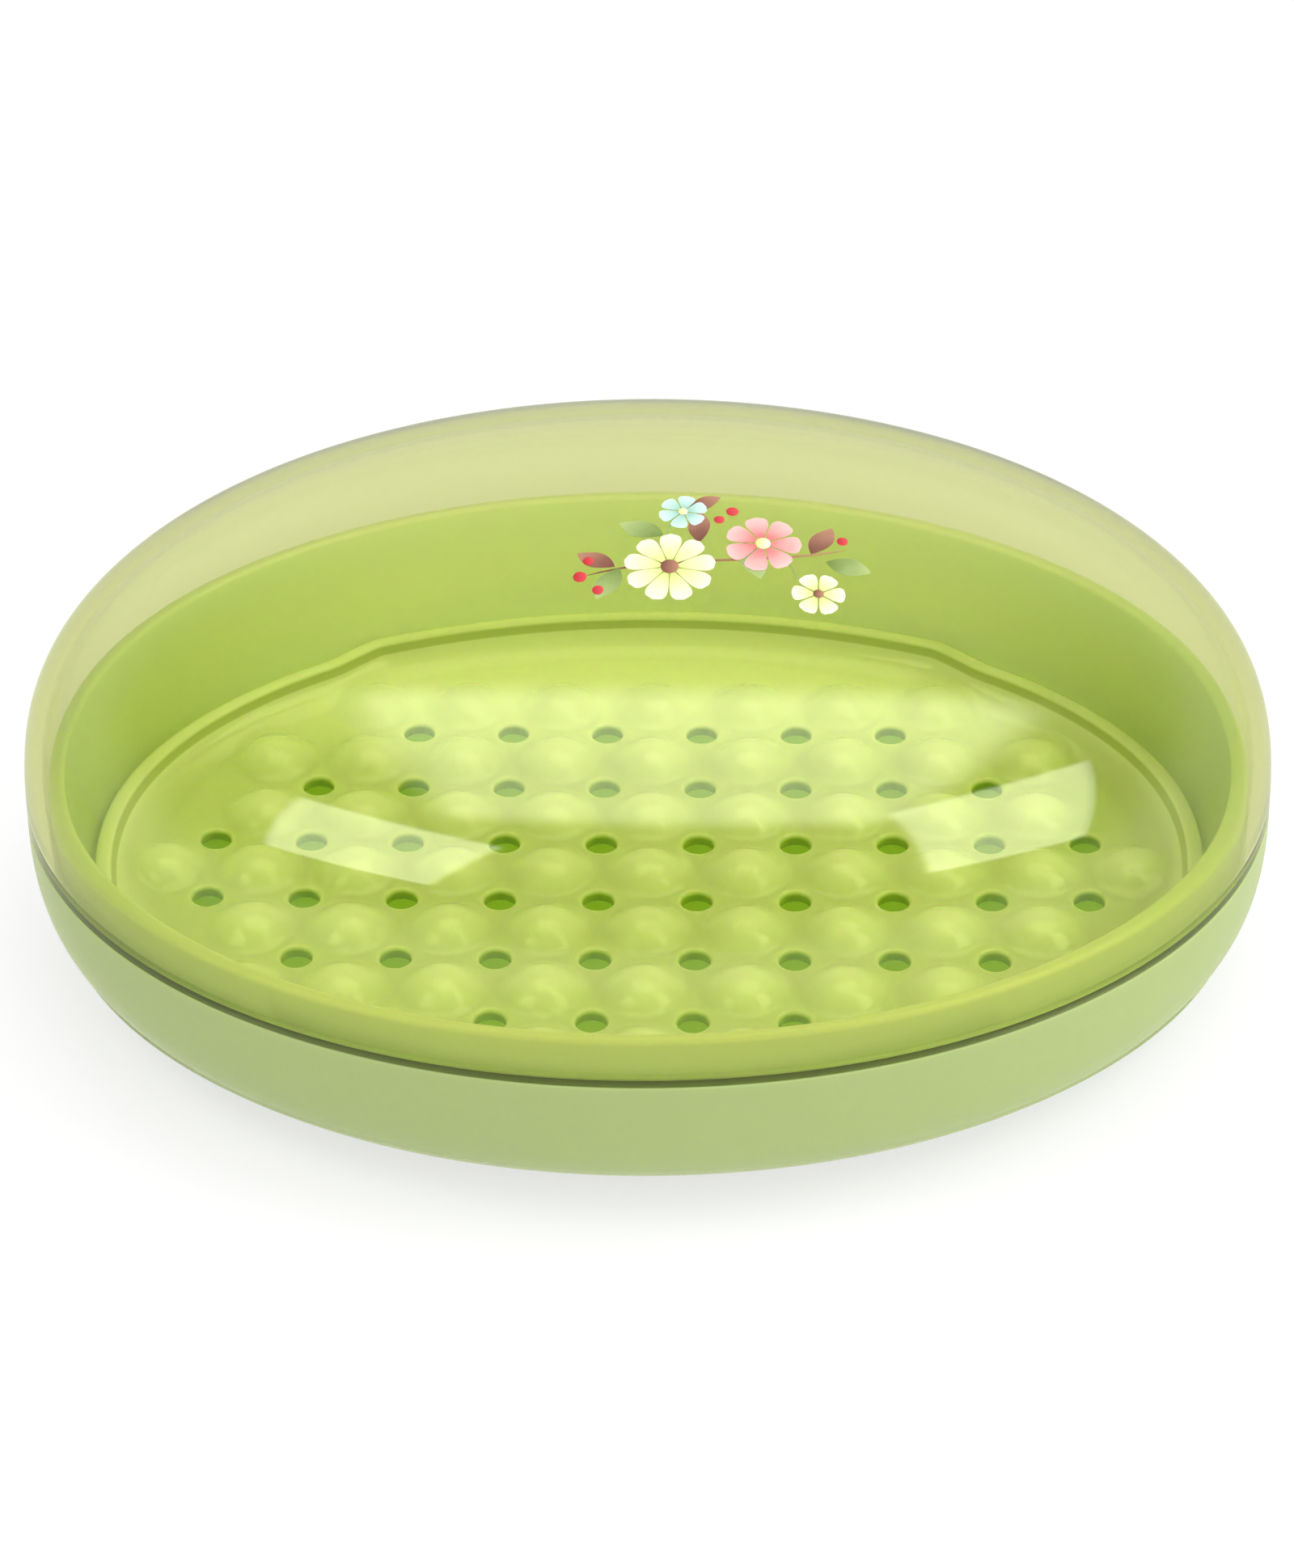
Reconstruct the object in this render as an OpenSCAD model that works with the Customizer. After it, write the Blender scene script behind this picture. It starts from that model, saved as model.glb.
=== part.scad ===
// Covered soap dish: an oval dish with an upright collar, a perforated tray that
// stands in it, and a clear domed lid that goes over the collar and rests on the
// ledge round it. Length runs along X, width along Y, and Z is up from the table.
// All sizes are in millimetres.

/* [Outline] */
// Length over the ledge, where the dish and the lid meet
body_l = 138.4; // [126:0.2:160]
// Width over the ledge
body_w = 110.8; // [100:0.2:126]

/* [Dish] */
// Height of the ledge that the lid rests on
ledge_z = 19.8; // [17:0.1:26]
// Height of the collar above the ledge
collar_h = 4.6; // [3:0.1:8]
// Thickness of the collar
collar_t = 1.6; // [1.4:0.1:2.4]
// Thickness of the dish's floor
floor_t = 1.8; // [1.4:0.1:2.6]
// Radius between the dish's floor and wall, inside
well_r = 10; // [7:0.5:11]
// Length of the flat that the dish stands on
stand_l = 76; // [60:1:90]
// How squarely the wall turns under to that flat, where 2 is an ellipse
turn = 3.1; // [2.6:0.1:4]
// Depth of the recess under the dish
foot_h = 1; // [0.6:0.1:1.6]
// Width of the foot ring round the recess
foot_w = 3; // [2:0.2:6]

/* [Lid] */
// Height of the dome above the ledge
lid_h = 30.9; // [26:0.1:42]
// Thickness of the lid
lid_t = 2; // [1.4:0.1:2.6]
// Clearance between the lid and the collar
lid_gap = 0.4; // [0.2:0.05:0.8]
// How late the dome turns in as it rises, where 2 is an ellipse
crown = 3.1; // [2.2:0.1:4]
// How far its shoulders stand out, where 2 is an ellipse
shoulder = 2.2; // [1.8:0.1:2.8]

/* [Tray] */
// Height of the tray's legs
leg_h = 2.6; // [1.5:0.1:4]
// Diameter of a leg
leg_d = 5; // [4:0.2:6]
// Distance of the legs from the middle, along the tray
leg_x = 33; // [28:0.5:38]
// Distance of the legs from the middle, across the tray
leg_y = 22; // [16:0.5:26]
// Thickness of the tray
tray_t = 1.6; // [1.2:0.1:2]
// Height of the rim above the tray's floor
rim_h = 3.6; // [3:0.1:5]
// Width of the rim's rounded lip
lip_w = 1.6; // [1.2:0.1:2]
// Clearance between the rim and the dish at the ends
end_gap = 2.2; // [1.6:0.1:4]
// Clearance between the rim and the dish along the sides
side_gap = 3.7; // [3.2:0.1:6]
// Clearance between a finger tab and the dish, at the tab's middle
tab_gap = 3; // [2.2:0.1:3.6]
// Length of a finger tab's long edge
tab_l = 68; // [56:0.5:74]
// Radius of that edge
tab_r = 93.5; // [84:0.5:104]

/* [Drain] */
// Distance from hole to hole, and from bump to bump
pitch = 11; // [10:0.1:14]
// Diameter of a drain hole
hole_d = 3.4; // [2.4:0.1:4]
// Least distance from the middle of a hole to the edge of the flat floor
hole_edge = 5; // [3:0.1:8]
// Height of a bump
bump_h = 2; // [1.5:0.1:3]
// Flat left between one bump and the next
bump_gap = 0.2; // [0.1:0.1:1]

/* [Hidden] */
$fa = 3;
$fs = 0.4;
over = 1; // how far a cutting body runs past the face that it opens
edge_r = 0.6; // rounding along the collar's two top edges
seam_r = 0.35; // rounding of the ledge's and the lid's outer edges
curve_n = 20; // straight pieces in a drawn curve
arc_n = 4; // straight pieces in a small rounding

body_a = body_l / 2;
body_b = body_w / 2;

// The lid's inside sets the collar, and the collar sets the well
lid_in_h = lid_h - lid_t;
collar_share = dome_share(collar_h / lid_in_h);
collar_a = (body_a - lid_t) * collar_share - lid_gap;
collar_b = (body_b - lid_t) * collar_share - lid_gap;
collar_z = ledge_z + collar_h;
well_a = collar_a - collar_t;
well_b = collar_b - collar_t;
well_z = foot_h + floor_t;

stand_b = body_b * stand_l / body_l;
recess_b = stand_b - foot_w;

// The tray's outline: an oval with a finger tab at the middle of each long side
tray_z = well_z + leg_h + tray_t;
tray_a = well_a - end_gap;
tray_b = well_b - side_gap;
tab_b = well_b - tab_gap;
tab_y = tab_b - tab_r; // middle of the circle that the long edge follows
tab_reach = norm([tab_l / 2, tab_y + sqrt(pow(tab_r, 2) - pow(tab_l / 2, 2))]);

// The tray's section, as distances in from its edge and heights above its floor
lip_r = lip_w * 0.44; // leaves a narrow land along the top of the lip
lip_low = 2; // height of the lip's lower edge
wall_foot = [2.6, 1.3]; // where the rim's wall meets the gentle slope
slope_foot = 5.6; // where that slope meets the flat floor
under_wall = [1.2, -0.3]; // the foot of the wall, on the underside
under_slope = 5.2; // the foot of the slope, on the underside

field_b = tray_b - slope_foot;
field_a = tray_a * field_b / tray_b;

// A bump is the top of a ball, and the hollow under it keeps the tray's thickness
bump_base = (pitch - bump_gap) / 2;
ball_r = (bump_base * bump_base + bump_h * bump_h) / (2 * bump_h);
ball_z = bump_h - ball_r;
root_h = 0.5; // how far a bump's edge reaches down into the floor

// Grid lines on each side of the middle
cells_x = ceil(field_a / pitch);
cells_y = ceil(field_b / pitch);
bump_places = [
    for (i = [-cells_x:cells_x], j = [-cells_y:cells_y])
        let (p = [i, j] * pitch)
            if (within(p, field_a, field_b)) p
];
hole_places = [
    for (i = [-cells_x:cells_x], j = [-cells_y:cells_y])
        let (p = [i + 0.5, j + 0.5] * pitch)
            if (within(p, field_a - hole_edge, field_b - hole_edge)) p
];
leg_places = [for (x = [-leg_x, leg_x], y = [-leg_y, leg_y]) [x, y]];
hollow_places = [for (p = bump_places) if (clear_of_legs(p)) p];

// Share of its base width that the dome still has at a share f of its height
function dome_share(f) = pow(1 - pow(f, crown), 1 / shoulder);

// Share of the way out to the ledge that the wall has at a share f of the way down
function turn_share(f) = pow(1 - pow(f, turn), 1 / turn);

function within(p, a, b) = pow(p[0] / a, 2) + pow(p[1] / b, 2) < 1;

function clear_of_legs(p) =
    min([for (leg = leg_places) norm(p - leg)]) > bump_base + leg_d / 2;

// Points of an arc about [r, z], its angles counted from the direction of r
function arc(r, z, radius, from, to) = [
    for (i = [0:arc_n])
        let (t = from + (to - from) * i / arc_n)
            [r + radius * cos(t), z + radius * sin(t)]
];

// Half outline of a dome with base radius b and height h, standing at z
function dome_points(b, h, z) = concat(
    [for (i = [0:curve_n - 1]) let (f = sin(90 * i / curve_n)) [b * dome_share(f), z + h * f]],
    [[0, z + h]]
);

// Turns a half outline that is drawn across the width, and stretches it along X.
// The front half is the mirror image of the back half
module oval(a, b, points) for (side = [0, 1]) mirror([0, side, 0])
    scale([a / b, 1, 1]) rotate_extrude(angle = 180) polygon(points);

module dish() color([0.67, 0.75, 0.5]) difference() {
    union() {
        dish_wall();
        collar();
    }
    well();
    recess();
}

// The outer wall up to the ledge, turning under to the flat that it stands on
module dish_wall() {
    reach = body_b - stand_b;
    curve = [
        for (i = [0:curve_n])
            let (f = cos(90 * i / curve_n), z = ledge_z * (1 - f))
                if (z < ledge_z - seam_r) [stand_b + reach * turn_share(f), z]
    ];
    rounding = arc(body_b - seam_r, ledge_z - seam_r, seam_r, 0, 90);
    oval(body_a, body_b, concat([[0, 0]], curve, rounding, [[0, ledge_z]]));
}

module collar() oval(collar_a, collar_b, concat(
    [[0, ledge_z - over], [collar_b, ledge_z - over]],
    arc(collar_b - edge_r, collar_z - edge_r, edge_r, 0, 90),
    [[0, collar_z]]
));

// The space inside the dish, flared at the top to round the collar's inner edge
module well() oval(well_a, well_b, concat(
    [[0, well_z]],
    arc(well_b - well_r, well_z + well_r, well_r, -90, 0),
    arc(well_b + edge_r, collar_z - edge_r, edge_r, 180, 90),
    [[well_b + edge_r, collar_z + over], [0, collar_z + over]]
));

module recess() oval(body_a * recess_b / body_b, recess_b,
    [[0, -over], [recess_b, -over], [recess_b, foot_h], [0, foot_h]]);

module lid() color([0.84, 0.86, 0.6, 0.5]) difference() {
    oval(body_a, body_b, concat(
        [[0, ledge_z]],
        arc(body_b - seam_r, ledge_z + seam_r, seam_r, -90, 0),
        [for (p = dome_points(body_b, lid_h, ledge_z)) if (p[1] > ledge_z + seam_r) p]
    ));
    oval(body_a - lid_t, body_b - lid_t, concat(
        [[0, ledge_z - over], [body_b - lid_t, ledge_z - over]],
        dome_points(body_b - lid_t, lid_in_h, ledge_z)
    ));
}

module tray() color([0.77, 0.84, 0.45]) translate([0, 0, tray_z]) {
    difference() {
        union() {
            difference() {
                tray_outside();
                tray_inside();
            }
            bumps();
        }
        bump_hollows();
        holes();
    }
    legs();
}

// Section of the tray's outside, for a plan of radius edge
function outside(edge) = concat(
    [
        [0, -tray_t],
        [edge - under_slope, -tray_t],
        [edge - under_wall[0], under_wall[1]],
        [edge, lip_low]
    ],
    arc(edge - lip_r, rim_h - lip_r, lip_r, 0, 90),
    [[0, rim_h]]
);

// Section of the space inside it, up to the inner side of the lip
function inside(edge) = concat(
    [[0, 0], [edge - slope_foot, 0], [edge - wall_foot[0], wall_foot[1]]],
    arc(edge - lip_w + lip_r, rim_h - lip_r, lip_r, 180, 90),
    [[edge - lip_w + lip_r, rim_h + over], [0, rim_h + over]]
);

module tray_outside() {
    oval(tray_a, tray_b, outside(tray_b));
    intersection() {
        translate([0, tab_y, 0]) rotate_extrude() polygon(outside(tab_r));
        translate([0, -tab_y, 0]) rotate_extrude() polygon(outside(tab_r));
        rotate_extrude() polygon(outside(tab_reach));
    }
}

module tray_inside() {
    oval(tray_a, tray_b, inside(tray_b));
    intersection() {
        translate([0, tab_y, 0]) rotate_extrude() polygon(inside(tab_r));
        translate([0, -tab_y, 0]) rotate_extrude() polygon(inside(tab_r));
        rotate_extrude() polygon(inside(tab_reach));
    }
}

// The bumps end where the rim's wall begins
module bumps() intersection() {
    union() for (p = bump_places) translate([p[0], p[1], ball_z]) sphere(ball_r);
    translate([0, 0, -root_h]) scale([tray_a / tray_b, 1, 1])
        cylinder(h = root_h + bump_h + over, r = tray_b - wall_foot[0]);
}

module bump_hollows() for (p = hollow_places)
    translate([p[0], p[1], ball_z]) sphere(ball_r - tray_t);

module holes() for (p = hole_places)
    translate([p[0], p[1], -tray_t - over]) cylinder(h = tray_t + 2 * over, d = hole_d);

module legs() for (p = leg_places)
    translate([p[0], p[1], -tray_t - leg_h]) cylinder(h = tray_t + leg_h - root_h, d = leg_d);

dish();
tray();
lid();
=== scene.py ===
import math
import bpy
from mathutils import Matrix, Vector


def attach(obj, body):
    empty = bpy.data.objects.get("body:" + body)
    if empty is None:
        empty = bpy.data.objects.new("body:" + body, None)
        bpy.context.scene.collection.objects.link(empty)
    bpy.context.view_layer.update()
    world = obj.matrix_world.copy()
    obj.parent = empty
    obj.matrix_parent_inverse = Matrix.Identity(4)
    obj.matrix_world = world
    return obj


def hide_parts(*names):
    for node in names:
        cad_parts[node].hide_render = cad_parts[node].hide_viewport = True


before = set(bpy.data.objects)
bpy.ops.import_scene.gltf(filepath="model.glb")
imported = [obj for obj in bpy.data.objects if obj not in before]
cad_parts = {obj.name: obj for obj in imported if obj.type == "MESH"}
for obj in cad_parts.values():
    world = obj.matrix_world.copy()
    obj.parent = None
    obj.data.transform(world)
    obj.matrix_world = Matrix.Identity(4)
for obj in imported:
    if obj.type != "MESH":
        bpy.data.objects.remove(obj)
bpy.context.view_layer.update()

mm = 0.001   # sizes below are in millimetres, Blender works in metres
weld = 0.0005   # points of a piece that are closer than this, in millimetres, become one
arcGap = 0.05   # where an arc takes over, the outline's last point keeps this far from it


# Shader maths: a socket in a small class, so that an expression adds its own Math nodes
class Sum:
    def __init__(self, shader, socket):
        self.shader, self.socket = shader, socket

    def math(self, operation, *others):
        return self.shader.node("ShaderNodeMath", {"operation": operation}, [self, *others])

    def __add__(self, other):
        return self.math("ADD", other)

    def __radd__(self, other):
        return self.math("ADD", other)

    def __sub__(self, other):
        return self.math("SUBTRACT", other)

    def __rsub__(self, other):
        return self.shader.value(other).math("SUBTRACT", self)

    def __mul__(self, other):
        return self.math("MULTIPLY", other)

    def __rmul__(self, other):
        return self.math("MULTIPLY", other)

    def __truediv__(self, other):
        return self.math("DIVIDE", other)

    def over(self, other):
        return self.math("MAXIMUM", other)

    def under(self, other):
        return self.math("MINIMUM", other)

    def length(self, other):
        return (self * self + other * other).math("SQRT")

    # 1 where this is below the edge, falling to 0 over a soft width
    def below(self, edge, soft):
        settings = {"interpolation_type": "SMOOTHSTEP"}
        return self.shader.node("ShaderNodeMapRange", settings,
                                {"Value": self, "From Min": edge - soft, "From Max": edge + soft,
                                 "To Min": 1.0, "To Max": 0.0}, "Result")


# The nodes of a material, a world or a lamp
class Shader:
    def __init__(self, owner):
        self.owner = owner
        owner.use_nodes = True
        self.tree = owner.node_tree
        self.tree.nodes.clear()

    # The one way a node is made: its type, its settings, then the values or links of its sockets
    def node(self, kind, settings=None, inputs=None, output=0):
        made = self.tree.nodes.new(kind)
        for key, value in (settings or {}).items():
            setattr(made, key, value)
        pairs = inputs.items() if isinstance(inputs, dict) else enumerate(inputs or [])
        for key, value in pairs:
            if isinstance(value, Sum):
                self.tree.links.new(value.socket, made.inputs[key])
            elif isinstance(value, (tuple, list)) and len(made.inputs[key].default_value) == 4:
                made.inputs[key].default_value = (*value[:3], 1)
            else:
                made.inputs[key].default_value = value
        return Sum(self, made.outputs[output]) if len(made.outputs) else None

    def value(self, number):
        return self.node("ShaderNodeMath", {"operation": "ADD"}, [number, 0.0])

    def split(self, vector):
        parts = self.node("ShaderNodeSeparateXYZ", None, [vector]).socket.node.outputs
        return [Sum(self, part) for part in parts]

    def place(self):
        return self.node("ShaderNodeTexCoord", output="Object")

    # Along and across a petal or leaf, both from 0 to 1
    def ownMap(self):
        return self.split(self.node("ShaderNodeUVMap", {"uv_map": "UVMap"}))[:2]

    def noise(self, vector, scale, detail):
        return self.node("ShaderNodeTexNoise", None,
                         {"Vector": vector, "Scale": scale, "Detail": detail}, "Fac")

    def blendColors(self, factor, first, second):
        made = self.node("ShaderNodeMix", {"data_type": "RGBA"}, {0: factor, 6: first, 7: second})
        return Sum(self, made.socket.node.outputs[2])

    def finish(self, surface, volume=None, kind="Material"):
        inputs = {"Surface": surface, "Volume": volume} if volume else {"Surface": surface}
        self.node("ShaderNodeOutput" + kind, None, inputs)
        return self.owner


# The three pieces share these forms, in millimetres, as the model's own frame has them
outline = {"length": 138.4, "width": 110.8, "ledge": 19.8}
dishForm = {"collarHeight": 4.6, "collarWall": 1.6, "floor": 2.8, "corner": 10.0,
            "standLength": 76.0, "recess": 1.0, "ring": 3.0, "turn": 3.1,
            "edge": 0.6, "seam": 0.35, "inEdge": 0.3, "standEdge": 0.15,
            "steps": 48, "turns": 256}
lidForm = {"height": 30.9, "wall": 2.0, "gap": 0.4, "crown": 3.1, "shoulder": 2.2,
           "seam": 0.35, "inEdge": 0.2, "steps": 64, "turns": 256}
trayForm = {"floor": 7.0, "wall": 1.6, "endGap": 2.2, "sideGap": 3.7, "tabGap": 3.0,
            "tabRadius": 93.5, "tabLength": 68.0, "tabBlend": 0.5,
            "rim": 3.6, "lip": 1.6, "lipLow": 2.0, "lipUnder": (0.3, 0.6),
            "wallFoot": (2.6, 1.3), "wallRise": ((0.05, 0.08), (0.45, 0.55)), "slopeFoot": 5.6,
            "underWall": (1.2, -0.3), "underSlope": 5.2, "ringStep": 0.52, "underStep": 1.0,
            "turns": 470, "blend": 1.2, "blendRise": 0.5, "legX": 33.0, "legY": 22.0,
            "legHeight": 2.6, "legWidth": 5.0, "legEdge": 0.3, "legTurns": 24}
drainForm = {"pitch": 11.0, "hole": 3.4, "holeEdge": 5.0, "bump": 2.0, "bumpBase": 5.45,
             "bumpTop": 5.6, "bumpTurn": 31.0, "flare": 0.55, "flareSkim": 0.02,
             "cutterPast": 1.0, "holeTurns": 32}

halfLength, halfWidth = outline["length"] / 2, outline["width"] / 2
stretch = halfLength / halfWidth


# How far the dome reaches out at a share of its height, and the dish's turn at one of its depth
def domeShare(f):
    return max(1 - f ** lidForm["crown"], 0) ** (1 / lidForm["shoulder"])


def turnShare(f):
    return max(1 - f ** dishForm["turn"], 0) ** (1 / dishForm["turn"])


# Points on an arc round (r, z), from one angle to another
def arc(r, z, radius, start, end, steps=6):
    angles = [math.radians(start + (end - start) * i / steps) for i in range(steps + 1)]
    return [(r + radius * math.cos(t), z + radius * math.sin(t)) for t in angles]


# The collar follows the lid's inside at the collar's own height, with the gap between them
collarB = (halfWidth - lidForm["wall"]) * domeShare(
    dishForm["collarHeight"] / (lidForm["height"] - lidForm["wall"])) - lidForm["gap"]
collarA = (halfLength - lidForm["wall"]) * (collarB + lidForm["gap"]) / (
    halfWidth - lidForm["wall"]) - lidForm["gap"]
wellB, wellA = collarB - dishForm["collarWall"], collarA - dishForm["collarWall"]


def deselect():
    if bpy.context.object and bpy.context.object.mode != "OBJECT":
        bpy.ops.object.mode_set(mode="OBJECT")
    bpy.ops.object.select_all(action="DESELECT")


# Draws a half outline point by point, spins it round the upright axis and closes the poles
def spunPiece(name, points, turns):
    deselect()
    bpy.ops.mesh.primitive_plane_add(size=mm)
    piece = bpy.context.object
    piece.name = name
    bpy.ops.object.mode_set(mode="EDIT")
    bpy.ops.mesh.merge(type="CENTER")
    bpy.ops.transform.translate(value=(points[0][0] * mm, 0, points[0][1] * mm))
    for (r, z), (nextR, nextZ) in zip(points, points[1:]):
        step = ((nextR - r) * mm, 0, (nextZ - z) * mm)
        bpy.ops.mesh.extrude_region_move(TRANSFORM_OT_translate={"value": step})
    bpy.ops.mesh.select_all(action="SELECT")
    bpy.ops.mesh.spin(steps=turns, angle=2 * math.pi, center=(0, 0, 0), axis=(0, 0, 1))
    bpy.ops.mesh.select_all(action="SELECT")
    bpy.ops.mesh.remove_doubles(threshold=weld * mm)
    bpy.ops.mesh.normals_make_consistent(inside=False)
    bpy.ops.object.mode_set(mode="OBJECT")
    return piece


# Moves every vertex of a piece by a rule that takes and gives a place in millimetres
def reshape(piece, rule):
    for vertex in piece.data.vertices:
        vertex.co = Vector(rule(*(vertex.co / mm))) * mm
    piece.data.update()


def smooth(piece, angle):
    deselect()
    piece.select_set(True)
    bpy.context.view_layer.objects.active = piece
    bpy.ops.object.shade_smooth_by_angle(angle=math.radians(angle))


def useModifier(piece, kind, **settings):
    deselect()
    piece.select_set(True)
    bpy.context.view_layer.objects.active = piece
    modifier = piece.modifiers.new(kind.title(), kind)
    for key, value in settings.items():
        setattr(modifier, key, value)
    bpy.ops.object.modifier_apply(modifier=modifier.name)


def dress(piece, material, body="root"):
    piece.data.materials.clear()
    piece.data.materials.append(material)
    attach(piece, body)


# Camera: the photograph's own view, worked out from the tray's grid of holes
cameraPlace = {"at": (0.01628, -0.47629, 0.35453), "turned": (54.855, 0.705, 1.466),
               "lens": 119.73, "nearest": 0.01}


def makeCamera():
    deselect()
    turned = [math.radians(a) for a in cameraPlace["turned"]]
    bpy.ops.object.camera_add(location=cameraPlace["at"], rotation=turned)
    camera = bpy.context.object
    camera.data.lens = cameraPlace["lens"]
    camera.data.clip_start = cameraPlace["nearest"]
    bpy.context.scene.camera = camera
    print("camera placed")


# Dish: wall, ledge, collar and well in one outline, spun and stretched to an oval
def makeDish(material):
    form, ledge = dishForm, outline["ledge"]
    standB = form["standLength"] / 2 / stretch
    recessB = standB - form["ring"]
    reach = halfWidth - standB
    top = ledge + form["collarHeight"]
    small = form["inEdge"]
    points = [(0, form["recess"]), (recessB - small, form["recess"])]
    points += arc(recessB - small, form["recess"] - small, small, 90, 0, 3)
    points += [(recessB, form["standEdge"]), (recessB + form["standEdge"], 0), (standB, 0)]
    for i in range(1, form["steps"] + 1):
        f = math.cos(math.pi / 2 * i / form["steps"])
        z = ledge * (1 - f)
        if z < ledge - form["seam"] - arcGap:
            points.append((standB + reach * turnShare(f), z))
    points += arc(halfWidth - form["seam"], ledge - form["seam"], form["seam"], 0, 90, 5)
    points += arc(collarB + small, ledge + small, small, 270, 180, 4)
    points += arc(collarB - form["edge"], top - form["edge"], form["edge"], 0, 90)
    points += arc(wellB + form["edge"], top - form["edge"], form["edge"], 90, 180)
    points += [(wellB, top - 4), (wellB, form["floor"] + form["corner"] + 3)]   # straight wall
    points += arc(wellB - form["corner"], form["floor"] + form["corner"], form["corner"],
                  0, -90, 18)
    points += [(wellB * share, form["floor"]) for share in (0.6, 0.4, 0.2, 0)]
    piece = spunPiece("soapDish", points, form["turns"])

    # the ledge stretches as the outline does, the collar keeps its even gap to the lid
    def oval(x, y, z):
        r = math.hypot(x, y)
        if z > ledge + 0.2 or r < wellB + form["collarWall"]:
            inner = min(r / collarB, 1)
            return (x * (stretch + (collarA / collarB - stretch) * inner), y, z)
        return (x * stretch, y, z)

    reshape(piece, oval)
    smooth(piece, angle=50)
    dress(piece, material)
    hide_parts("dish")
    print("dish made,", len(piece.data.vertices), "vertices")


# Lid: an outer and an inner dome joined by a narrow foot with rounded corners
def makeLid(material):
    form, ledge = lidForm, outline["ledge"]
    innerB, innerH = halfWidth - form["wall"], form["height"] - form["wall"]
    shares = [math.sin(math.pi / 2 * i / form["steps"]) for i in range(form["steps"] + 1)]
    outer = [(halfWidth * domeShare(f), ledge + form["height"] * f) for f in shares]
    inner = [(innerB * domeShare(f), ledge + innerH * f) for f in shares]
    seam = form["seam"]
    points = [p for p in outer[::-1] if p[1] > ledge + seam + arcGap]
    points += arc(halfWidth - seam, ledge + seam, seam, 0, -90, 5)
    points += arc(innerB + form["inEdge"], ledge + form["inEdge"], form["inEdge"], 270, 180, 3)
    points += [p for p in inner if p[1] > ledge + form["inEdge"] + arcGap]
    points = [(max(r, 0), z) for r, z in points]
    piece = spunPiece("lidDome", points, form["turns"])
    innerStretch = (halfLength - form["wall"]) / innerB

    def oval(x, y, z):
        if z >= ledge + innerH + 0.01:
            return (x * stretch, y, z)
        f = min(max((z - ledge) / innerH, 0), 1)
        outerHere = halfWidth * domeShare(min(max((z - ledge) / form["height"], 0), 1))
        innerHere = innerB * domeShare(f)
        across = (math.hypot(x, y) - innerHere) / max(outerHere - innerHere, 0.01)
        across = min(max(across, 0), 1)
        return (x * (innerStretch + (stretch - innerStretch) * across), y, z)

    reshape(piece, oval)
    smooth(piece, angle=50)
    dress(piece, material)
    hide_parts("lid")
    print("lid made,", len(piece.data.vertices), "vertices")


# Tray: its oval, its two tabs and the field that the bumps stand in
trayA, trayB = wellA - trayForm["endGap"], wellB - trayForm["sideGap"]
tabB = wellB - trayForm["tabGap"]
tabMiddle = tabB - trayForm["tabRadius"]
tabReach = math.hypot(trayForm["tabLength"] / 2, tabMiddle + math.sqrt(
    trayForm["tabRadius"] ** 2 - trayForm["tabLength"] ** 2 / 4))
fieldB = trayB - trayForm["slopeFoot"]
fieldA = trayA * fieldB / trayB


# Distance from the middle to the tray's edge in the direction (c, s)
def trayEdge(c, s):
    oval = 1 / math.hypot(c / trayA, s / trayB)
    s = abs(s)
    tab = tabMiddle * s + math.sqrt(trayForm["tabRadius"] ** 2 - (tabMiddle * c) ** 2)
    return softer(oval, min(tab, tabReach), trayForm["tabBlend"])


# The larger of two heights, rounded over where they meet
def softer(a, b, width):
    near = max(width - abs(a - b), 0) / width
    return max(a, b) + near * near * width / 4


def gridPlaces(shift, a, b):
    pitch = drainForm["pitch"]
    cells = range(-7, 8)
    places = [((i + shift) * pitch, (j + shift) * pitch) for i in cells for j in cells]
    return [(x, y) for x, y in places if (x / a) ** 2 + (y / b) ** 2 < 1]


bumpPlaces = set(gridPlaces(0, fieldA, fieldB))
holePlaces = gridPlaces(0.5, fieldA - drainForm["holeEdge"], fieldB - drainForm["holeEdge"])


# A bump's rise at a distance from its middle: a round top, a straight flank and a hollow foot.
# The flank's length and the foot's radius follow from the bump's height and base.
def bumpRise(apart, deeper):
    turn = math.radians(drainForm["bumpTurn"])
    s, c, top = math.sin(turn), math.cos(turn), drainForm["bumpTop"]
    fall, reach = drainForm["bump"] - top * (1 - c), drainForm["bumpBase"] - top * s
    foot = (reach * s - fall * c) / (s * s - c * (1 - c)) + deeper
    top -= deeper
    if apart < top * s:
        return drainForm["bump"] - top + math.sqrt(top ** 2 - apart ** 2)
    inside = max(drainForm["bumpBase"] - apart, 0)
    if inside > foot * s:
        return foot * (1 - c) + (inside - foot * s) * s / c
    return foot - math.sqrt(foot ** 2 - inside ** 2)


# Height at a place of the tray, over a floor that rises towards the rim
def bumpHeight(x, y, floor, level, deeper):
    pitch = drainForm["pitch"]
    place = (round(x / pitch) * pitch, round(y / pitch) * pitch)
    if place not in bumpPlaces:
        return floor
    rise = level + bumpRise(math.hypot(x - place[0], y - place[1]), deeper)
    width = trayForm["blend"] * min((floor - level) / trayForm["blendRise"], 1)
    return softer(floor, rise, width) if width > 0.01 else max(floor, rise)


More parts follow.
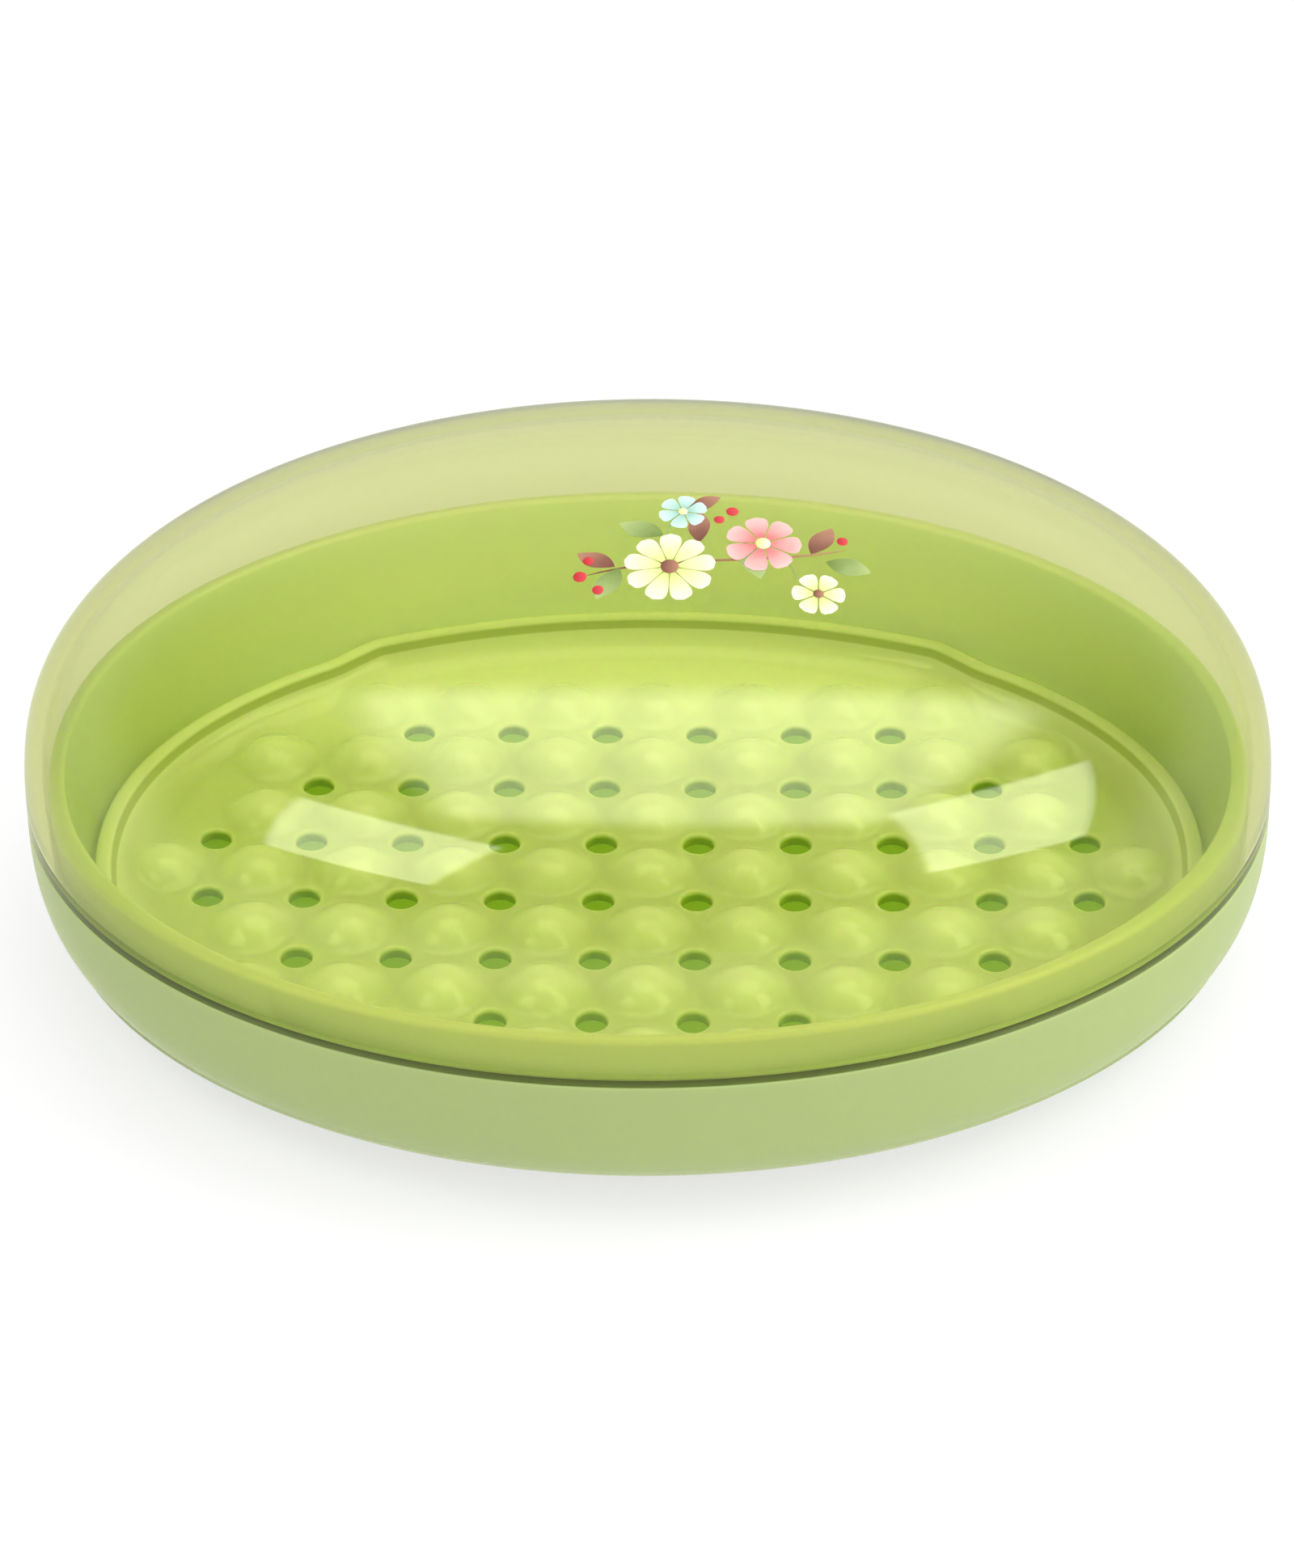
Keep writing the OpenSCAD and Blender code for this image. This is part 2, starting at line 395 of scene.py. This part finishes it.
def makeTray(material):
    form = trayForm
    lip = form["lip"] / 2
    slopeFoot, wallFoot, underWall = form["slopeFoot"], form["wallFoot"], form["underWall"]
    rings = math.ceil((trayB - slopeFoot) / form["ringStep"])
    inner = [trayB - slopeFoot - (trayB - slopeFoot) * i / rings for i in range(rings + 1)]
    points = [(r, 0) for r in inner[::-1]]
    for i in range(1, 6):
        t = i / 6
        points.append((trayB - slopeFoot + (slopeFoot - wallFoot[0]) * t,
                       wallFoot[1] * t * t * (1.5 - 0.5 * t)))
    points += [(trayB - wallFoot[0] + out, wallFoot[1] + up) for out, up in form["wallRise"]]
    points += arc(trayB - lip, form["rim"] - lip, lip, 180, 0, 12)
    points += [(trayB, form["lipLow"]),
               (trayB - form["lipUnder"][0], form["lipLow"] - form["lipUnder"][1]),
               (trayB - underWall[0], underWall[1])]
    rings = math.ceil((trayB - form["underSlope"]) / form["underStep"])
    under = [trayB - form["underSlope"] - (trayB - form["underSlope"]) * i / rings
             for i in range(rings + 1)]
    for i in range(1, 4):
        t = i / 4
        points.append((trayB - underWall[0] - (form["underSlope"] - underWall[0]) * t,
                       underWall[1] + (-form["wall"] - underWall[1]) * t))
    points += [(r, -form["wall"]) for r in under]
    piece = spunPiece("drainTray", points, form["turns"])

    # the middle rings become bumps, all rings follow the tray's outline with its tabs
    def trayRule(x, y, z):
        r = math.hypot(x, y)
        if r > 0.001:
            out = trayEdge(x / r, y / r) / trayB
            x, y = x * out, y * out
        inset = trayB - r
        if z > -0.01 and z <= wallFoot[1] + 0.01 and inset >= wallFoot[0] - 0.01:
            z = bumpHeight(x, y, z, 0, 0)
        elif z <= -form["wall"] + 0.01:
            z = bumpHeight(x, y, z, -form["wall"], form["wall"])
        return (x, y, z + form["floor"])

    reshape(piece, trayRule)
    print("tray shaped,", len(piece.data.vertices), "vertices")

    # one cutter with flared ends, copied to every hole, then the legs
    flare, skim, past = drainForm["flare"], drainForm["flareSkim"], drainForm["cutterPast"]
    low, high = form["floor"] - form["wall"], form["floor"]
    wide = drainForm["hole"] / 2 + flare
    cutterPoints = [(0, low - past), (wide, low - past)]
    cutterPoints += arc(wide, low + flare - skim, flare, 270, 180, 4)
    cutterPoints += arc(wide, high - flare + skim, flare, 180, 90, 6)
    cutterPoints += [(wide, high + past), (0, high + past)]
    cutter = spunPiece("holeCutter", cutterPoints, drainForm["holeTurns"])
    copies = []
    for x, y in holePlaces:
        copy = bpy.data.objects.new("holeCopy", cutter.data.copy())
        bpy.context.collection.objects.link(copy)
        reshape(copy, lambda a, b, c, x=x, y=y: (a + x, b + y, c))
        copies.append(copy)
    deselect()
    for copy in copies:
        copy.select_set(True)
    bpy.context.view_layer.objects.active = copies[0]
    bpy.ops.object.join()
    cutters = bpy.context.object
    useModifier(piece, "BOOLEAN", operation="DIFFERENCE", object=cutters, solver="MANIFOLD")
    for extra in (cutters, cutter):
        bpy.data.objects.remove(extra)
    print("tray drilled,", len(piece.data.vertices), "vertices")

    legRadius, legTop = form["legWidth"] / 2, form["floor"] + 0.2
    legFoot = form["floor"] - form["wall"] - form["legHeight"]
    legPoints = [(0, legFoot), (legRadius - form["legEdge"], legFoot),
                 (legRadius, legFoot + form["legEdge"]), (legRadius, legTop), (0, legTop)]
    leg = spunPiece("trayLeg", legPoints, form["legTurns"])
    for x in (-form["legX"], form["legX"]):
        for y in (-form["legY"], form["legY"]):
            copy = bpy.data.objects.new("legCopy", leg.data.copy())
            bpy.context.collection.objects.link(copy)
            reshape(copy, lambda a, b, c, x=x, y=y: (a + x, b + y, c))
            useModifier(piece, "BOOLEAN", operation="UNION", object=copy, solver="MANIFOLD")
            bpy.data.objects.remove(copy)
    bpy.data.objects.remove(leg)
    smooth(piece, angle=55)
    dress(piece, material)
    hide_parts("tray")
    print("tray made,", len(piece.data.vertices), "vertices")


# Finishes; the colours of the dish's well, its seam, its two glows and the tray's low floor,
# rear, rim wall and hole walls are painted light and shade
plasticLook = {"dish": (0.42, 0.51, 0.212), "inside": (0.81, 0.89, 0.49),
               "insideBackPaintedLight": (0.84, 0.90, 0.60), "insideEndsPaintedShade": (0.54, 0.67, 0.16),
               "seam": (0.14, 0.19, 0.05), "glow": (0.13, 0.215, 0.005),
               "backPaintedGlow": (0.075, 0.10, 0.045),
               "tray": (0.74, 0.81, 0.47), "trayLowPaintedShade": (0.59, 0.675, 0.30),
               "trayRearPaintedLight": (0.80, 0.87, 0.50), "trayWallPaintedShade": (0.50, 0.59, 0.19),
               "holeWallPaintedShade": (0.36, 0.50, 0.03), "mottle": 0.03,
               "cloudScale": 35.0, "grainScale": 900.0, "grain": 0.015,
               "dishRoughness": 0.22, "trayRoughness": 0.09, "roughnessSpread": 0.06,
               "grainHeight": 0.0001, "ior": 1.49,
               "glowDepth": 0.0012, "glowColors": (1.0, 1.25, 0.45)}
lidLook = {"surface": (0.98, 0.985, 0.95), "shadow": (0.97, 0.97, 0.95), "roughness": 0.01,
           "waveScale": 40.0, "wave": 0.02, "waveHeight": 0.0005, "ior": 1.49,
           "depthColor": (0.68, 0.71, 0.09), "depth": 280.0}
dark = (0.0, 0.0, 0.0)

# Where the painted light and shade lie, in millimetres: the line between the dish's inside and
# outside curves in below "turn", and the tray's rear and rim have painted light and shade of
# their own
dishPaintedLightPlaces = {"wall": 53.3, "curve": 16.0, "turn": 11.0, "floor": 2.1, "soft": 0.3,
             "back": 50.0, "ends": 66.0, "seam": 0.12, "seamSoft": 0.06,
             "under": 7.8, "underSoft": 2.0}
trayPaintedLightPlaces = {"rear": 22.0, "rearWidth": 12.0, "rimLow": 1.4, "rimLowSoft": 0.1,
             "rimHigh": 0.5, "rimHighSoft": 0.2, "holeReach": 2.035, "holeSoft": 0.11,
             "holeTop": 6.7, "soft": 0.3}


# The dish's tone: fuller in the well as painted light for light that goes from wall to wall,
# painted shadow at the seam, and a painted glow in the well
def dishToneWithPaintedLight(shader, tone, x, y, z):
    form = dishPaintedLightPlaces
    low = (1 - z / (form["turn"] * mm)).over(0.0)
    wall = form["wall"] * mm - low * low * (form["curve"] * mm)
    inner = ((x / (wellA / wellB)).length(y) - wall).below(0.0, form["soft"] * mm)
    inner = inner * (1 - z.below(form["floor"] * mm, form["soft"] * mm))
    # Painted light and shade in the well: paler than the outside for light going from wall to
    # wall, lighter towards the back wall, darker towards the ends
    back = (y / (form["back"] * mm)).over(0.0).under(1.0)
    ends = (x / (form["ends"] * mm)) * (x / (form["ends"] * mm))
    ends = (ends * ends).under(1.0)
    inside = shader.blendColors(back, plasticLook["inside"], plasticLook["insideBackPaintedLight"])
    inside = shader.blendColors(ends, inside, plasticLook["insideEndsPaintedShade"])
    # Painted shadow: the ledge under the lid's foot is dark, for the shade in the gap between lid
    # and dish
    seam = 1 - z.below((outline["ledge"] - form["seam"]) * mm, form["seamSoft"] * mm)
    tone = shader.blendColors(inner, tone, inside)
    tone = shader.blendColors(seam * (1 - inner), tone, plasticLook["seam"])
    # Painted glow: emission in the well below the tray stands in for light coming through the
    # dish's walls, and a fainter emission towards the back of the well stands in for more light
    # there
    under = inner * z.below(form["under"] * mm, form["underSoft"] * mm)
    glow = shader.blendColors(inner * back * (1 - ends), dark, plasticLook["backPaintedGlow"])
    return tone, shader.blendColors(under, glow, plasticLook["glow"])


# The tray's tone: paler on the bumps and deep in the walls of the holes as painted highlight and
# shade, with painted shade on the low floor and rim wall and painted light at the rear
def trayToneWithPaintedLight(shader, tone, x, y, z):
    form = trayPaintedLightPlaces
    # Painted highlight and shade: the bump tops are paler, the low floor between them deeper
    rise = ((z / mm - trayForm["floor"]) / drainForm["bump"]).over(0.0).under(1.0)
    # Painted light: the tray's rear is lighter
    rear = ((y - form["rear"] * mm) / (form["rearWidth"] * mm)).over(0.0).under(1.0)
    low = shader.blendColors(rear, plasticLook["trayLowPaintedShade"], plasticLook["trayRearPaintedLight"])
    tone = shader.blendColors(rise, low, tone)
    # Painted shade: a darker band on the rim's inner wall
    top = trayForm["floor"] + trayForm["rim"]
    wall = z.below((top - form["rimHigh"]) * mm, form["rimHighSoft"] * mm)
    wall = (1 - z.below((top - form["rimLow"]) * mm, form["rimLowSoft"] * mm)) * wall
    tone = shader.blendColors(wall, tone, plasticLook["trayWallPaintedShade"])
    # Painted shade: the walls of the holes are deep and dark
    pitch = drainForm["pitch"]
    across, along = [(v / (pitch * mm)).math("FRACT") - 0.5 for v in (x, y)]
    hole = across.length(along).below(form["holeReach"] / pitch, form["holeSoft"] / pitch)
    hole = hole * z.below(form["holeTop"] * mm, form["soft"] * mm)
    return shader.blendColors(hole, tone, plasticLook["holeWallPaintedShade"]), dark


def plasticMaterial(name, color, roughness, toneWithPaintedLightRule):
    shader = Shader(bpy.data.materials.new(name))
    vector = shader.place()
    cloud = shader.noise(vector, plasticLook["cloudScale"], 3.0)
    fine = shader.noise(vector, plasticLook["grainScale"], 2.0)
    spread = plasticLook["roughnessSpread"]
    pale = [c * (1 + plasticLook["mottle"]) for c in color]
    deep = [c * (1 - plasticLook["mottle"]) for c in color]
    tone = shader.blendColors(cloud, deep, pale)
    tone, glow = toneWithPaintedLightRule(shader, tone, *shader.split(vector))
    bump = shader.node("ShaderNodeBump", None,
                       {"Strength": plasticLook["grain"], "Distance": plasticLook["grainHeight"],
                        "Height": fine})
    # The emission carries the painted glow that the tone rule gives, if any
    surface = shader.node("ShaderNodeBsdfPrincipled", None, {
        "Base Color": tone, "Roughness": fine * spread + (roughness - spread / 2),
        "IOR": plasticLook["ior"], "Normal": bump,
        "Emission Color": glow, "Emission Strength": 1.0,
        "Subsurface Weight": 1.0, "Subsurface Scale": plasticLook["glowDepth"],
        "Subsurface Radius": plasticLook["glowColors"]})
    return shader.finish(surface)


# Clear tinted plastic: its colour deepens with the way that light takes inside the wall
def lidMaterial():
    shader = Shader(bpy.data.materials.new("clearTintedPlastic"))
    wave = shader.noise(shader.place(), lidLook["waveScale"], 1.0)
    bump = shader.node("ShaderNodeBump", None,
                       {"Strength": lidLook["wave"], "Distance": lidLook["waveHeight"],
                        "Height": wave})
    glass = shader.node("ShaderNodeBsdfPrincipled", None, {
        "Base Color": lidLook["surface"], "Roughness": lidLook["roughness"],
        "IOR": lidLook["ior"], "Transmission Weight": 1.0, "Normal": bump})
    clear = shader.node("ShaderNodeBsdfTransparent", None, {"Color": lidLook["shadow"]})
    path = shader.node("ShaderNodeLightPath", output="Is Shadow Ray")
    inside = shader.node("ShaderNodeVolumeAbsorption", None,
                         {"Color": lidLook["depthColor"], "Density": lidLook["depth"]})
    mixed = shader.node("ShaderNodeMixShader", None, [path, glass, clear])
    return shader.finish(mixed, inside)


inkLook = {"cloudScale": 600.0, "cloud": 0.5, "fall": 1.1, "deepEnd": 0.3, "veins": 40.0,
           "veinDepth": 0.12, "roughness": 0.3, "roughnessSpread": 0.1}


# Ink by the petal's own map: deep at its root, pale at its tip, with faint veins along it
def inkMaterial(name, root, tip):
    shader = Shader(bpy.data.materials.new(name))
    along, across = shader.ownMap()
    look = inkLook
    cloud = shader.noise(shader.place(), look["cloudScale"], 2.0)
    veins = (across * look["veins"]).math("SINE") * look["veinDepth"]
    share = along * look["fall"] + cloud * look["cloud"] - look["deepEnd"] + veins * (1 - along)
    tone = shader.blendColors(share.over(0.0).under(1.0), root, tip)
    roughness = cloud * look["roughnessSpread"] + look["roughness"]
    surface = shader.node("ShaderNodeBsdfPrincipled", None,
                          {"Base Color": tone, "Roughness": roughness})
    return shader.finish(surface)


# Print: blossoms, leaves and berries in thin ink on the lid's top, of this file's own design
inks = {"cream": ((0.62, 0.66, 0.20), (0.86, 0.87, 0.62)),
        "blush": ((0.66, 0.16, 0.16), (0.86, 0.50, 0.46)),
        "aqua": ((0.28, 0.52, 0.45), (0.60, 0.80, 0.72)),
        "leaf": ((0.15, 0.23, 0.04), (0.38, 0.48, 0.17)),
        "russet": ((0.16, 0.05, 0.03), (0.42, 0.20, 0.12)),
        "berry": ((0.45, 0.01, 0.02), (0.70, 0.06, 0.07))}
printForm = {
    "middle": (7.5, -1.5), "tall": 1.3, "film": 0.02, "step": 0.003,
    "petalStart": 0.12, "petalWidth": 0.8, "heart": 0.2,
    # outline, ink, place of its root, direction, length, half width, bend
    "stems": [("stem", "russet", (-14.0, -3.6), 20, 28.5, 0.16, -5.0),
              ("stem", "leaf", (-6.5, -1.0), 62, 9.0, 0.12, 1.4),
              ("stem", "leaf", (7.0, 0.6), -52, 8.5, 0.12, -1.2)],
    "leaves": [("leaf", "russet", (-10.5, -2.2), 148, 4.6, 1.15, 0.5),
               ("leaf", "leaf", (-10.0, -2.4), -112, 5.0, 1.3, -0.5),
               ("leaf", "leaf", (-5.4, 2.6), 152, 5.2, 1.35, 0.6),
               ("leaf", "russet", (-1.5, 1.6), 96, 5.0, 1.2, -0.4),
               ("leaf", "leaf", (3.4, 1.9), -78, 5.8, 1.5, 0.6),
               ("leaf", "russet", (10.6, 0.4), 68, 4.8, 1.2, -0.5),
               ("leaf", "leaf", (12.2, -0.6), -20, 5.0, 1.3, 0.5),
               ("leaf", "russet", (-2.8, 7.0), 24, 4.0, 1.0, 0.4)],
    # petals, ink, middle, reach, turn
    "blossoms": [(9, "cream", (-4.6, -2.2), 5.0, 10), (7, "blush", (5.4, 1.6), 4.2, 0),
                 (6, "aqua", (-3.4, 6.4), 2.7, 20), (6, "cream", (11.4, -5.4), 2.9, 0)],
    "berries": [(-14.2, -3.7, 0.75), (-13.4, -1.4, 0.6), (-12.2, -5.6, 0.62),
                (0.6, 5.2, 0.6), (2.0, 6.6, 0.7), (14.0, 2.6, 0.62)]}


# How wide an outline is at a share of its length
def outlineShare(kind, along):
    if kind == "petal":
        return along ** 0.8 * math.sqrt(max(1 - along ** 5, 0)) * 1.25
    if kind == "disc":
        return math.sqrt(max(1 - (2 * along - 1) ** 2, 0))
    return math.sin(math.pi * along) ** (0.9 if kind == "leaf" else 0.3)


# Height of the lid's outside at a place
def domeHeight(x, y):
    share = math.hypot(x / stretch, y) / halfWidth
    return outline["ledge"] + lidForm["height"] * (
        1 - share ** lidForm["shoulder"]) ** (1 / lidForm["crown"])


# One motif: a small grid drawn into its outline and laid on the dome
def makeMotif(kind, place, direction, length, width, bend, lift):
    deselect()
    bpy.ops.mesh.primitive_grid_add(x_subdivisions=14, y_subdivisions=4, size=2 * mm)
    motif = bpy.context.object
    c, s = math.cos(math.radians(direction)), math.sin(math.radians(direction))

    def rule(x, y, z):
        along = (x + 1) / 2
        a = along * length
        b = y * width * outlineShare(kind, along) + bend * math.sin(math.pi * along / 2) ** 2
        x = printForm["middle"][0] + place[0] + a * c - b * s
        y = printForm["middle"][1] + (place[1] + a * s + b * c) * printForm["tall"]
        return (x, y, domeHeight(x, y) + lift)

    reshape(motif, rule)
    return motif


def makePrint():
    form, film = printForm, printForm["film"]
    motifs = {ink: [] for ink in inks}

    def add(ink, layer, kind, place, direction, length, width, bend=0.0):
        lift = film * (1 + layer) + form["step"] * (len(motifs[ink]) % 6)
        motifs[ink].append(makeMotif(kind, place, direction, length, width, bend, lift))

    for kind, ink, place, direction, length, width, bend in form["stems"]:
        add(ink, 0, kind, place, direction, length, width, bend)
    for kind, ink, place, direction, length, width, bend in form["leaves"]:
        add(ink, 2, kind, place, direction, length, width, bend)
    for count, ink, (x, y), reach, turn in form["blossoms"]:
        for i in range(count):
            direction = turn + 360 * i / count
            c, s = math.cos(math.radians(direction)), math.sin(math.radians(direction))
            start = reach * form["petalStart"]
            width = reach * math.sin(math.pi / count) * form["petalWidth"]
            root = (x + start * c, y + start * s)
            add(ink, 4, "petal", root, direction, reach - start, width)
        heartInk, heart = "russet" if ink == "cream" else "cream", reach * form["heart"]
        add(heartInk, 6, "disc", (x - heart, y), 0, 2 * heart, heart)
    for x, y, radius in form["berries"]:
        add("berry", 4, "disc", (x - radius, y), 0, 2 * radius, radius)

    for ink, pieces in motifs.items():
        deselect()
        for motif in pieces:
            motif.select_set(True)
        bpy.context.view_layer.objects.active = pieces[0]
        bpy.ops.object.join()
        piece = bpy.context.object
        piece.name = "print_" + ink
        bpy.ops.object.mode_set(mode="EDIT")
        bpy.ops.mesh.select_all(action="SELECT")
        bpy.ops.mesh.remove_doubles(threshold=weld * mm)
        bpy.ops.mesh.dissolve_degenerate(threshold=weld * mm)
        bpy.ops.object.mode_set(mode="OBJECT")
        useModifier(piece, "SOLIDIFY", thickness=film * mm, offset=1.0)
        smooth(piece, angle=30)
        dress(piece, inkMaterial("ink_" + ink, *inks[ink]))
    print("print made,", sum(len(pieces) for pieces in motifs.values()), "motifs")


# Stage: a white floor that keeps a soft shadow, a white world, three soft panels
stageLook = {"ambient": 0.35, "soft": 1.28, "softFrom": (0.50, -0.62, 0.62), "mirrored": 0.73,
             "overhead": 0.12, "floorSize": 6.0, "floorGlow": 0.68, "floorTone": 0.3,
             "floorPlain": 0.8, "floorMirrored": (0.80, 0.83, 0.63), "horizon": (0.45, 0.2)}
lamps = {
    "leftPanel": {"toward": (-0.496, -0.194, 0.846), "far": 0.75, "size": (0.31, 0.335),
                  "turn": 58, "brightness": 4.0, "taper": 0.0, "fade": 0.03},
    "rightPanel": {"toward": (0.629, -0.066, 0.774), "far": 0.75, "size": (0.40, 0.37),
                   "turn": -38, "brightness": 4.0, "taper": 0.0, "fade": 0.03},
    "topPanel": {"toward": (0.058, 0.279, 0.958), "far": 0.9, "size": (0.96, 0.64),
                 "turn": -8, "brightness": 2.7, "taper": 0.2, "fade": 0.08},
}


# Whether light is seen straight, in a reflection or through the lid
def seenRays(shader):
    path = shader.node("ShaderNodeLightPath").socket.node
    kinds = ("Is Camera Ray", "Is Glossy Ray", "Is Transmission Ray")
    return [Sum(shader, path.outputs[kind]) for kind in kinds]


# A panel's glow fades at its edges, and may be narrower towards one of them
def panelGlow(light, taper, fade):
    shader = Shader(light)
    place = shader.node("ShaderNodeNewGeometry", output="Parametric")
    across, along = [part - 0.5 for part in shader.split(place)[:2]]
    narrowed = across.math("ABSOLUTE") / ((along + 0.5) * -taper + 1.0)
    glow = narrowed.below(0.5 - fade, fade) * along.math("ABSOLUTE").below(0.5 - fade, fade)
    emission = shader.node("ShaderNodeEmission", None, {"Color": (1, 1, 1), "Strength": glow})
    shader.finish(emission, kind="Light")


def makeStage():
    deselect()
    bpy.ops.mesh.primitive_plane_add(size=stageLook["floorSize"])
    floor = bpy.context.object
    floor.name = "floor"
    shader = Shader(bpy.data.materials.new("whiteFloor"))
    plain, shaded = [shader.node("ShaderNodeBsdfDiffuse", None, {"Color": (stageLook[tone],) * 3})
                     for tone in ("floorPlain", "floorTone")]
    glow = shader.node("ShaderNodeEmission", None,
                       {"Color": (1, 1, 1), "Strength": stageLook["floorGlow"]})
    seen = shader.node("ShaderNodeAddShader", None, [shaded, glow])
    camera, glossy, through = seenRays(shader)
    mirrored = shader.node("ShaderNodeEmission", None,
                           {"Color": stageLook["floorMirrored"], "Strength": 1.0})
    seen = shader.node("ShaderNodeMixShader", None, [glossy * (1 - through), seen, mirrored])
    rays = camera.over(glossy).over(through)
    floor.data.materials.append(
        shader.finish(shader.node("ShaderNodeMixShader", None, [rays, plain, seen])))

    world = bpy.data.worlds.new("studio")
    bpy.context.scene.world = world
    sky = Shader(world)
    # white where it is seen straight or through the lid, and dark overhead in reflections
    camera, glossy, through = seenRays(sky)
    lit = sky.node("ShaderNodeLightPath", output="Diffuse Depth").under(1.0)
    across, depth, height = sky.split(sky.node("ShaderNodeTexCoord", output="Generated"))
    mirrored = through + (1 - through) * stageLook["mirrored"]
    mirrored = mirrored * height.below(*stageLook["horizon"]) + stageLook["overhead"]
    aim = Vector(stageLook["softFrom"]).normalized()
    facing = (across * aim.x + depth * aim.y + height * aim.z).over(0.0)
    soft = facing * facing * stageLook["soft"] + stageLook["ambient"]
    mirror = glossy.over(through) * (1 - lit) * (1 - camera)
    strength = camera + (1 - camera) * (1 - mirror) * soft + mirror * mirrored
    background = sky.node("ShaderNodeBackground", None,
                          {"Color": (1, 1, 1), "Strength": strength})
    sky.finish(background, kind="World")

    for name, lamp in lamps.items():
        deselect()
        toward = Vector(lamp["toward"]).normalized()
        bpy.ops.object.light_add(type="AREA", location=toward * lamp["far"])
        light = bpy.context.object
        light.name = name
        light.rotation_euler = toward.to_track_quat("Z", "Y").to_euler()
        bpy.ops.transform.rotate(value=math.radians(lamp["turn"]), orient_axis="Z",
                                 orient_type="LOCAL", center_override=light.location)
        light.data.shape = "RECTANGLE"
        light.data.size, light.data.size_y = lamp["size"]
        area = lamp["size"][0] * lamp["size"][1]
        light.data.energy = lamp["brightness"] * area * math.pi
        panelGlow(light.data, lamp["taper"], lamp["fade"])
    print("stage made,", len(lamps), "panels")


makeCamera()
makeStage()
bpy.context.scene.view_settings.view_transform = "Standard"
makeDish(plasticMaterial("paleGreenPlastic", plasticLook["dish"],
                         plasticLook["dishRoughness"], dishToneWithPaintedLight))
makeTray(plasticMaterial("trayPlastic", plasticLook["tray"],
                         plasticLook["trayRoughness"], trayToneWithPaintedLight))
makeLid(lidMaterial())
makePrint()
